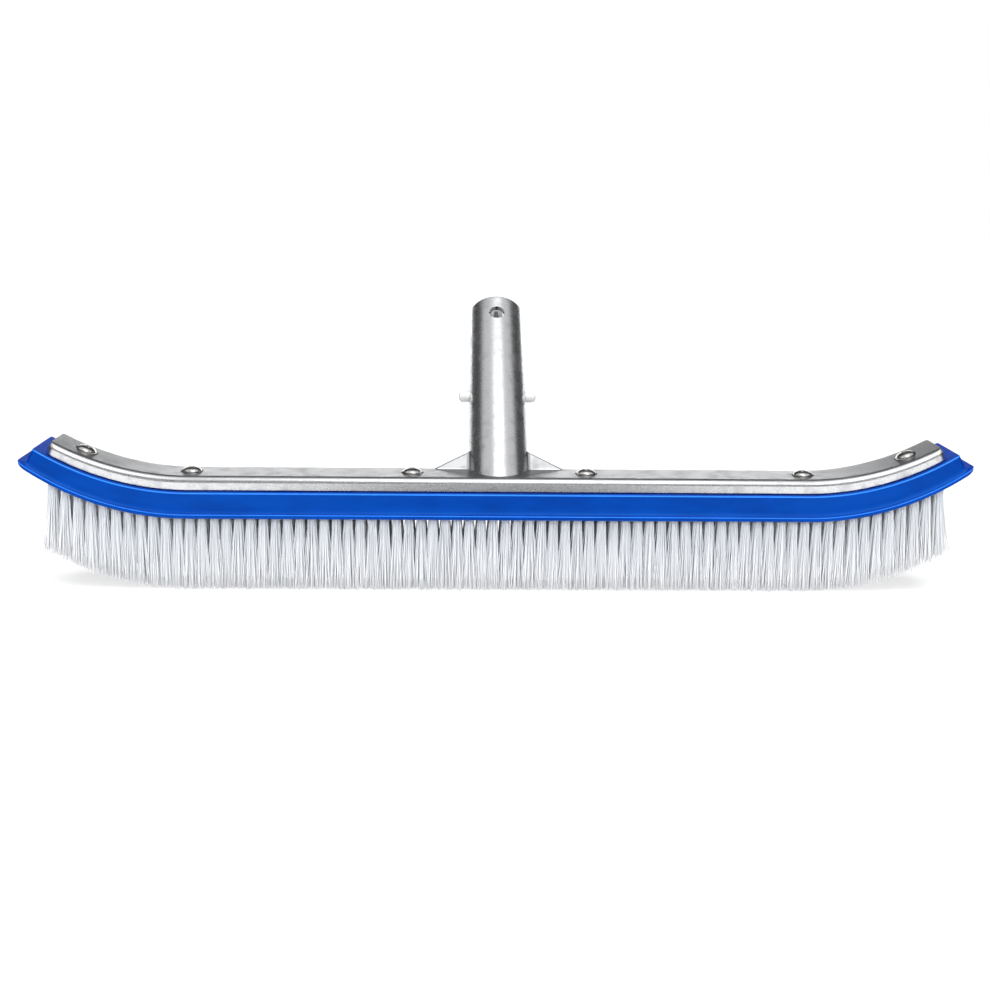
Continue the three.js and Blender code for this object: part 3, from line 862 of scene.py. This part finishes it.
def tuft_bank(number):
    """One bank's filaments as an array of points (filament, step, side, 3), and each one's random shade.

    A tuft's roots lie on a sunflower spiral, and its tips on a wider copy of it, with strays. A filament
    runs from root to tip on a shallow arc, and its section is a small triangle. The tips end at uneven
    heights over the bend, and those near the brush's ends lean out.
    """
    sizes = settings().bristles
    tuft_lean, bow_size, late_spread = 0.18 * MM, 0.22 * MM, 1.12
    in_block, taper, even_shape = 0.5 * MM, 0.12, (1.3, 2.6)
    random = np.random.default_rng(sizes.seed * 1000 + number)
    banks = len(bank_names())
    pitch = bank_pitch()
    column_pitch = pitch / sizes.columns_per_bank
    middle = (number - (banks + 1) / 2) * pitch
    columns = middle + (np.arange(sizes.columns_per_bank) - (sizes.columns_per_bank - 1) / 2) * column_pitch
    rows = (np.arange(sizes.rows) - (sizes.rows - 1) / 2) * sizes.row_pitch
    tuft_x, tuft_y = (a.ravel() for a in np.meshgrid(columns, rows))
    tufts, each = len(tuft_x), sizes.filaments
    spiral = np.arange(each)
    radius = sizes.root_radius * np.sqrt((spiral + 0.5) / each)
    turn = spiral * np.pi * (3 - math.sqrt(5)) + random.uniform(0, 2 * np.pi, tufts)[:, None]
    offset = np.stack([radius * np.cos(turn), radius * np.sin(turn)], -1)
    from_end = np.maximum(banks / 2 * pitch - np.abs(tuft_x) - column_pitch / 2, 0)
    lean = np.sign(tuft_x) * sizes.end_lean * np.exp(-from_end / (2 * column_pitch))
    spread = sizes.row_spread * tuft_y / abs(rows[0])
    own_lean = random.normal(0, tuft_lean, (tufts, 2))
    stray = random.normal(0, sizes.stray, (tufts, each, 2))
    tip = offset * sizes.fan + stray + (np.stack([lean, spread], -1) + own_lean)[:, None]
    middles = np.repeat(np.stack([tuft_x, tuft_y], -1), each, 0)
    root, tip = offset.reshape(-1, 2) + middles, tip.reshape(-1, 2) + middles
    total = tufts * each
    bow = random.normal(0, bow_size, (total, 2))
    step = np.linspace(0, 1, 6)
    along = step[None, :, None]
    path = root[:, None] + (tip - root)[:, None] * along**late_spread + bow[:, None] * np.sin(np.pi * along)
    shortfall = sizes.uneven * random.beta(*even_shape, total)
    start = block_low.z + in_block
    height = start + (shortfall - start)[:, None] * step
    girth = sizes.filament_radius * (1 - taper * step)
    sides = random.uniform(0, 2 * np.pi, total)[:, None] + np.arange(3) * 2 * np.pi / 3
    ring = np.stack([np.cos(sides), np.sin(sides)], -1)
    flat = path[:, :, None] + ring[:, None] * girth[None, :, None, None]
    z = np.broadcast_to((height + lift(path[..., 0]))[:, :, None], flat.shape[:3])
    return np.concatenate([flat, z[..., None]], -1), random.uniform(0, 1, total)


def filament_shell(points):
    """Closed three-sided filaments: bands between the steps, and a triangle over each end."""
    total, steps = points.shape[:2]
    first = np.arange(total)[:, None] * steps * 3
    band = (grid_faces(steps, 3)[None] + first[:, :, None]).reshape(-1, 4)
    ends = np.array([[2, 1, 0], [0, 1, 2]]) + np.array([[0], [(steps - 1) * 3]])
    caps = (ends[None] + first[:, :, None]).reshape(-1, 3)
    return Shell(points, [band, caps])


class MakeBristles(bpy.types.Operator):
    """Make the tufts bank by bank, filament by filament"""

    bl_idname = "pool_brush.make_bristles"
    bl_label = "Bristles"

    def execute(self, context):
        material = bristle_nylon()
        for number, node in enumerate(bank_names(), start=1):
            points, shade = tuft_bank(number)
            tufts = object_of(f"bristle_tufts_{number:02d}", filament_shell(points))
            reach = np.broadcast_to(np.linspace(0, 1, points.shape[1])[None, :, None], points.shape[:3])
            strand = np.broadcast_to(shade[:, None, None], points.shape[:3])
            for name, values in (("reach", reach), ("strand", strand)):
                layer = tufts.data.attributes.new(name, "FLOAT", "POINT")
                layer.data.foreach_set("value", values.astype(np.float32).ravel())
            finished(tufts, "brush", [node], material, 180, False)
        return {"FINISHED"}


# ---- finishes ----


class Wire:
    """A number in a node tree. Arithmetic on it adds Math nodes."""

    def __init__(self, finish, socket):
        self.finish = finish
        self.socket = socket

    def __add__(self, other):
        return self.finish.math("ADD", self, other)

    def __sub__(self, other):
        return self.finish.math("SUBTRACT", self, other)

    def __rsub__(self, other):
        return self.finish.math("SUBTRACT", other, self)

    def __mul__(self, other):
        return self.finish.math("MULTIPLY", self, other)

    __radd__ = __add__
    __rmul__ = __mul__


class Finish:
    """A material, or the studio's world, whose nodes are added one by one."""

    def __init__(self, name, kind="materials"):
        self.owner = getattr(bpy.data, kind).new(name)
        self.owner.use_nodes = True
        self.tree = self.owner.node_tree
        self.tree.nodes.clear()

    def node(self, kind, choices=None, values=None, output=0):
        """Adds a node: its choices are set first, then the values or links of its sockets."""
        made = self.tree.nodes.new(kind)
        for key, choice in (choices or {}).items():
            if key == "stops":
                for element, (place, shade) in zip(made.color_ramp.elements, choice):
                    element.position = place
                    element.color = shade
            else:
                setattr(made, key, choice)
        for key, value in (values or {}).items():
            if isinstance(value, Wire):
                self.tree.links.new(value.socket, made.inputs[key])
            else:
                made.inputs[key].default_value = value
        return Wire(self, made.outputs[output]) if made.outputs else made

    def math(self, operation, *numbers):
        """A Math node on one or two numbers."""
        return self.node("ShaderNodeMath", {"operation": operation}, dict(enumerate(numbers)))

    def along(self, vector, axis):
        """The part of a vector along X, Y or Z."""
        return self.node("ShaderNodeSeparateXYZ", values={"Vector": vector}, output=axis)

    def facing(self, axis):
        """How far the surface faces along X, Y or Z."""
        return self.along(self.node("ShaderNodeNewGeometry", output="Normal"), axis)

    def place(self, stretch=None):
        """Object coordinates, stretched by a factor along each axis if one is given."""
        where = self.node("ShaderNodeTexCoord", output="Object")
        if stretch is None:
            return where
        return self.node("ShaderNodeMapping", values={"Vector": where, "Scale": stretch})

    def noise(self, where, size, detail=3.0, roughness=0.55):
        """Noise whose lumps are about the given size in metres."""
        values = {"Vector": where, "Scale": 1 / size, "Detail": detail, "Roughness": roughness}
        return self.node("ShaderNodeTexNoise", values=values)

    def between(self, value, low, high, to_low=0.0, to_high=1.0):
        """The value eased from one range into another."""
        values = {"Value": value, "From Min": low, "From Max": high, "To Min": to_low, "To Max": to_high}
        return self.node("ShaderNodeMapRange", {"interpolation_type": "SMOOTHSTEP"}, values)

    def blended(self, factor, first, second):
        """A colour between two, each a colour setting, three numbers or a wire."""
        first, second = (end if isinstance(end, Wire) else (*end, 1.0) for end in (first, second))
        return self.node("ShaderNodeMix", {"data_type": "RGBA"}, {0: factor, 6: first, 7: second}, output=2)

    def bumped(self, height, distance, strength=1.0):
        """A surface direction tilted by a height, whose full step is the distance."""
        values = {"Height": height, "Distance": distance, "Strength": strength}
        return self.node("ShaderNodeBump", values=values)

    def surfaced(self, shader, output="ShaderNodeOutputMaterial"):
        """The finished material or world."""
        self.node(output, values={"Surface": shader})
        return self.owner

    def principled(self, values):
        return self.surfaced(self.node("ShaderNodeBsdfPrincipled", values=values))


def cast_aluminium():
    """Tumbled casting: a ground, grainy flat, drawn lines along the sides, and blotches on the polished tube.

    The ground flat is whatever faces up low on the casting. The webs, beside the tube and above the bar,
    are darker and rougher, and all but their fronts are painted nearly black: a painted shade that draws a
    dark line along their tops.
    """
    finish, colours = Finish("cast_aluminium"), settings().colours
    where, top = finish.place(), bar_top()
    high_on_tube, faces_up, off_front = (top + 22 * MM, top + 30 * MM), (0.84, 0.90), (-0.6, -0.4)
    beside_tube, past_webs, over_bar = (15.2 * MM, 16.6 * MM), (50 * MM, 60 * MM), (0.1 * MM, 0.4 * MM)
    height, aside = finish.along(where, "Z"), finish.math("ABSOLUTE", finish.along(where, "X"))
    flat = finish.between(finish.facing("Z"), *faces_up) * finish.between(height, *high_on_tube, 1.0, 0.0)
    webs = finish.between(aside, *beside_tube) * finish.between(aside, *past_webs, 1.0, 0.0)
    webs = webs * finish.between(height, top + over_bar[0], top + over_bar[1])
    # painted shade: every web face but the front is darkened nearly to black, which draws a dark line along the
    # tops
    painted_web_shade = webs * finish.between(finish.facing("Y"), *off_front)
    grain = finish.noise(where, 0.55 * MM, 4.0, 0.65)
    speckle = finish.noise(where, 0.22 * MM, 2.0, 0.6)
    blotches = finish.noise(where, 7 * MM, 5.0, 0.6)
    drawn = finish.noise(finish.place((0.06, 1.0, 1.0)), 0.9 * MM, 3.0, 0.6)
    dull = finish.between(grain * 0.6 + speckle * 0.4, 0.38, 0.62)
    cloudy = finish.between(blotches, 0.42, 0.68)
    shade = flat * (0.30 + 0.50 * dull) + (1 - flat) * (0.10 * dull + 0.28 * cloudy) + 0.5 * webs
    base = finish.blended(finish.between(shade, 0.0, 1.0), colours.metal, colours.metal_dull)
    base = finish.blended(painted_web_shade, base, colours.metal_painted_shade)
    roughness = 0.20 + 0.10 * cloudy + flat * 0.05 + 0.04 * dull + 0.06 * drawn + 0.10 * webs
    relief = grain * (0.35 + 0.65 * flat) + drawn * (0.5 - 0.4 * flat) + blotches * 0.8
    bump = finish.bumped(relief, 0.05 * MM, 0.8)
    return finish.principled({"Base Color": base, "Metallic": 1.0, "Roughness": roughness, "Normal": bump})


def height_over_bend(finish):
    """Height above the tips with the bend taken off: z less how far the bend's circle has risen at x."""
    bend = settings().bend
    where = finish.place()
    past = finish.math("ABSOLUTE", finish.along(where, "X")) - bend.straight_half
    past = finish.math("MAXIMUM", past, 0.0)
    circle = finish.math("SQRT", bend.radius**2 - past * past)
    return finish.along(where, "Z") - (bend.radius - circle)


def blue_plastic():
    """Moulded plastic with faint flow marks and orange peel, a painted highlight on its ridges, duller on top.

    The painted highlight is on the round edges under the ledge and round the lip, where they don't face straight
    up.
    """
    finish, colours, sizes = Finish("blue_plastic"), settings().colours, settings().block
    flow = finish.noise(finish.place((0.35, 1.0, 1.0)), 9 * MM, 3.0, 0.5)
    peel = finish.noise(finish.place(), 0.8 * MM, 2.0, 0.5)
    scuffs = finish.noise(finish.place((0.2, 1.0, 1.6)), 1.6 * MM, 4.0, 0.7)
    up = finish.facing("Z")
    flat_top = finish.between(up, 0.70, 0.82)
    height = height_over_bend(finish)
    ledge, lip = block_low.z + sizes.height, block_low.z + sizes.lip
    ledge_round, lip_round = (ledge - 1.3 * MM, ledge - 0.8 * MM), (lip - 0.9 * MM, lip - 0.4 * MM)
    lip_end, turned_up = (lip, lip + 0.7 * MM), (0.05, 0.4)
    upper = finish.between(height, *ledge_round)
    lower = finish.between(height, *lip_round) * finish.between(height, *lip_end, 1.0, 0.0)
    # painted highlight: round edges that turn upwards are made paler, as if lit from above
    ridge = (upper + lower) * finish.between(up, *turned_up) * (1 - flat_top) * (0.45 + 0.4 * scuffs)
    base = finish.blended(finish.between(flow, 0.35, 0.65), colours.blue, colours.blue_deep)
    base = finish.blended(finish.between(ridge, 0.0, 1.0), base, colours.blue_painted_highlight)
    roughness = 0.30 + 0.06 * flow + 0.10 * finish.between(scuffs, 0.55, 0.75) + 0.22 * flat_top
    bump = finish.bumped(peel + scuffs * 0.4, 0.02 * MM, 0.5)
    values = {"Base Color": base, "Roughness": roughness, "Normal": bump}
    values.update({"Specular IOR Level": 0.8, "Specular Tint": (*colours.blue_gloss, 1.0)})
    return finish.principled(values)


def screw_steel():
    """Bright plating with fine wear and a little grime in the grain."""
    finish, colours = Finish("screw_steel"), settings().colours
    where = finish.place()
    wear = finish.noise(where, 1.3 * MM, 4.0, 0.6)
    fine = finish.noise(where, 0.2 * MM, 2.0, 0.5)
    grime = tuple(0.45 * channel for channel in colours.plating)
    base = finish.blended(finish.between(wear, 0.5, 0.72, 0.0, 0.5), colours.plating, grime)
    bump = finish.bumped(fine + wear * 0.6, 0.015 * MM, 0.6)
    values = {"Base Color": base, "Metallic": 1.0, "Roughness": 0.13 + 0.14 * wear, "Normal": bump}
    return finish.principled(values)


def clip_nylon():
    """White nylon with a soft moulded grain."""
    finish, colours = Finish("clip_nylon"), settings().colours
    where = finish.place()
    cloud = finish.noise(where, 3 * MM, 3.0, 0.5)
    grain = finish.noise(where, 0.35 * MM, 2.0, 0.5)
    dim = tuple(0.86 * channel for channel in colours.nylon)
    base = finish.blended(finish.between(cloud, 0.4, 0.7, 0.0, 0.6), colours.nylon, dim)
    bump = finish.bumped(grain, 0.02 * MM, 0.5)
    return finish.principled({"Base Color": base, "Roughness": 0.34 + 0.14 * cloud, "Normal": bump})


def bristle_nylon():
    """Pale nylon filaments, half of whose light comes through them.

    Each has its own shade, and they get brighter towards their tips.
    """
    finish, colours = Finish("bristle_nylon"), settings().colours
    reach = finish.node("ShaderNodeAttribute", {"attribute_name": "reach"}, output="Fac")
    strand = finish.node("ShaderNodeAttribute", {"attribute_name": "strand"}, output="Fac")
    fleck = finish.noise(finish.place((1.0, 1.0, 0.25)), 0.8 * MM, 2.0, 0.5)
    bright = 0.25 + 0.45 * reach + 0.35 * strand + (fleck - 0.5) * 0.4
    base = finish.blended(finish.between(bright, 0.1, 1.0), colours.bristle, colours.bristle_bright)
    values = {"Base Color": base, "Roughness": 0.36 + 0.16 * strand, "Specular IOR Level": 0.4}
    solid = finish.node("ShaderNodeBsdfPrincipled", values=values)
    through = finish.node("ShaderNodeBsdfTranslucent", values={"Color": (*colours.bristle_bright, 1.0)})
    return finish.surfaced(finish.node("ShaderNodeMixShader", values={0: 0.5, 1: solid, 2: through}))


# ---- studio ----


def aimed(place, at):
    """A frame at a place whose -Z looks at a point, with its X level."""
    matrix = (Vector(at) - Vector(place)).to_track_quat("-Z", "Y").to_matrix().to_4x4()
    matrix.translation = place
    return matrix


def soft_card(name, place, at, size, radiance, mirrored=True):
    """A rectangular light that gives the same radiance whatever its size; the camera doesn't see it."""
    light = bpy.data.lights.new(name, "AREA")
    light.shape = "RECTANGLE"
    light.size, light.size_y = size
    light.energy = radiance * math.pi * size[0] * size[1]
    card = bpy.data.objects.new(name, light)
    card.matrix_world = aimed(place, at)
    card.visible_camera = False
    card.visible_glossy = mirrored
    bpy.context.scene.collection.objects.link(card)


def floor_white():
    """A pale floor: half matt and half glowing near the brush, and all glow farther out, to hide its edge."""
    finish, glow = Finish("floor_white"), settings().studio.glow
    near, far, share_near = 0.35, 0.85, 0.5
    where = finish.place()
    off = finish.node("ShaderNodeVectorMath", {"operation": "LENGTH"}, {0: where}, output="Value")
    glowing = finish.between(off, near, far, share_near, 1.0)
    white = finish.blended(finish.noise(where, 4 * MM, 2.0, 0.5), (0.93,) * 3, (0.95,) * 3)
    values = {"Base Color": white, "Roughness": 0.9, "Specular IOR Level": 0.0}
    matt = finish.node("ShaderNodeBsdfPrincipled", values=values)
    lit = finish.node("ShaderNodeEmission", values={"Color": (1.0,) * 4, "Strength": glow})
    return finish.surfaced(finish.node("ShaderNodeMixShader", values={0: glowing, 1: matt, 2: lit}))


def flag_grey(reach):
    """A grey patch that fades to nothing at its reach."""
    finish, core, cover = Finish("flag_grey"), 0.06, 0.95
    off = finish.node("ShaderNodeVectorMath", {"operation": "LENGTH"}, {0: finish.place()}, output="Value")
    fade = finish.between(off, core, reach, cover, 0.0)
    return finish.principled({"Base Color": (0.02, 0.02, 0.02, 1.0), "Roughness": 0.9, "Alpha": fade})


def studio_room():
    """All that is round the stage: white where it is seen past the floor, dim where it lights the brush."""
    finish = Finish("studio", "worlds")
    values = {"Color": (0.94, 0.97, 1.0, 1.0), "Strength": settings().studio.room}
    dim = finish.node("ShaderNodeBackground", values=values)
    white = finish.node("ShaderNodeBackground", values={"Color": (1.0,) * 4})
    seen = finish.node("ShaderNodeLightPath", output="Is Camera Ray")
    mixed = finish.node("ShaderNodeMixShader", values={0: seen, 1: dim, 2: white})
    return finish.surfaced(mixed, "ShaderNodeOutputWorld")


def sheet(name, reach, material):
    """A square flat sheet on the floor, part of the stage."""
    corners = [(-reach, -reach, 0), (reach, -reach, 0), (reach, reach, 0), (-reach, reach, 0)]
    mesh = bpy.data.meshes.new(name)
    mesh.from_pydata(corners, [], [(0, 1, 2, 3)])
    mesh.materials.append(material)
    piece = bpy.data.objects.new(name, mesh)
    bpy.context.scene.collection.objects.link(piece)
    return piece


def studio_camera():
    """A camera that looks at its target from an azimuth and an elevation, and then rolls about its view."""
    studio = settings().studio
    camera = bpy.data.objects.new("camera", bpy.data.cameras.new("camera"))
    camera.data.lens = studio.lens
    camera.data.clip_start = 0.01
    azimuth, elevation = studio.azimuth, studio.elevation
    target = Vector((studio.target_across, 0, studio.target_height))
    level = math.cos(elevation)
    back = Vector((math.sin(azimuth) * level, -math.cos(azimuth) * level, math.sin(elevation)))
    roll = Matrix.Rotation(studio.roll, 4, "Z")
    camera.matrix_world = aimed(target + back * studio.distance, target) @ roll
    bpy.context.scene.collection.objects.link(camera)
    return camera


class MakeStudio(bpy.types.Operator):
    """Make the pale floor, the soft lights and the camera"""

    bl_idname = "pool_brush.make_studio"
    bl_label = "Studio"

    def execute(self, context):
        studio = settings().studio
        sheet("floor", studio.floor_reach, floor_white())
        flag_reach, flag_place = 0.2, (0.015, -0.23, 0.0005)
        flag = sheet("reflection_flag", flag_reach, flag_grey(flag_reach))
        flag.location = flag_place
        for ray in ("camera", "diffuse", "transmission", "shadow"):
            setattr(flag, f"visible_{ray}", False)

        middle = (0, 0, 0.05)
        soft_card("key_light", (0.13, -0.47, 1.15), middle, (0.72, 1.35), studio.key)
        soft_card("canopy_light", (0, -0.25, 1.3), (0, -0.2501, 0), (3.6, 1.7), studio.canopy)
        soft_card("backdrop_light", (0, 2.0, 0.3), (0, 0, 0.3), (2.4, 0.74), studio.backdrop)
        soft_card("front_light", (0, -2.2, 0.87), middle, (4.5, 1.05), studio.front)
        soft_card("fill_light", (0, -1.6, 0.5), middle, (3.0, 0.9), studio.fill, mirrored=False)
        over = (0, -0.2, 1.25)
        soft_card("top_fill_light", over, (0, -0.2001, 0), (1.6, 1.2), studio.top_fill, mirrored=False)

        context.scene.world = studio_room()
        context.scene.view_settings.view_transform = "Standard"
        context.scene.camera = studio_camera()
        return {"FINISHED"}


# ---- add-on ----


class PoolBrushPanel(bpy.types.Panel):
    """Lists the brush's sizes and the buttons that make its pieces"""

    bl_idname = "VIEW3D_PT_pool_brush"
    bl_label = "Pool wall brush"
    bl_space_type = "VIEW_3D"
    bl_region_type = "UI"
    bl_category = "Pool brush"

    def draw(self, context):
        brush = context.scene.pool_brush
        for group_name in PoolBrush.__annotations__:
            group = getattr(brush, group_name)
            box = self.layout.box()
            box.label(text=group_name.capitalize())
            for size_name in type(group).__annotations__:
                box.prop(group, size_name)
        for step in STEPS:
            self.layout.operator(step.bl_idname)


SIZE_GROUPS = (
    BendSizes,
    BarSizes,
    SpigotSizes,
    GussetSizes,
    BlockSizes,
    ScrewSizes,
    ClipSizes,
    BristleSizes,
    FinishColours,
    StudioSettings,
    PoolBrush,
)
STEPS = (MakeBackCasting, MakeBrushBlock, MakeBlockScrews, MakeSpringClip, MakeBristles, MakeStudio)


def register():
    for kind in (*SIZE_GROUPS, *STEPS, PoolBrushPanel):
        bpy.utils.register_class(kind)
    bpy.types.Scene.pool_brush = bpy.props.PointerProperty(type=PoolBrush)


def unregister():
    del bpy.types.Scene.pool_brush
    for kind in reversed((*SIZE_GROUPS, *STEPS, PoolBrushPanel)):
        bpy.utils.unregister_class(kind)


def main():
    """Makes every piece and the studio."""
    register()
    for step in STEPS:
        family, name = step.bl_idname.split(".")
        getattr(getattr(bpy.ops, family), name)()


if __name__ == "__main__":
    main()
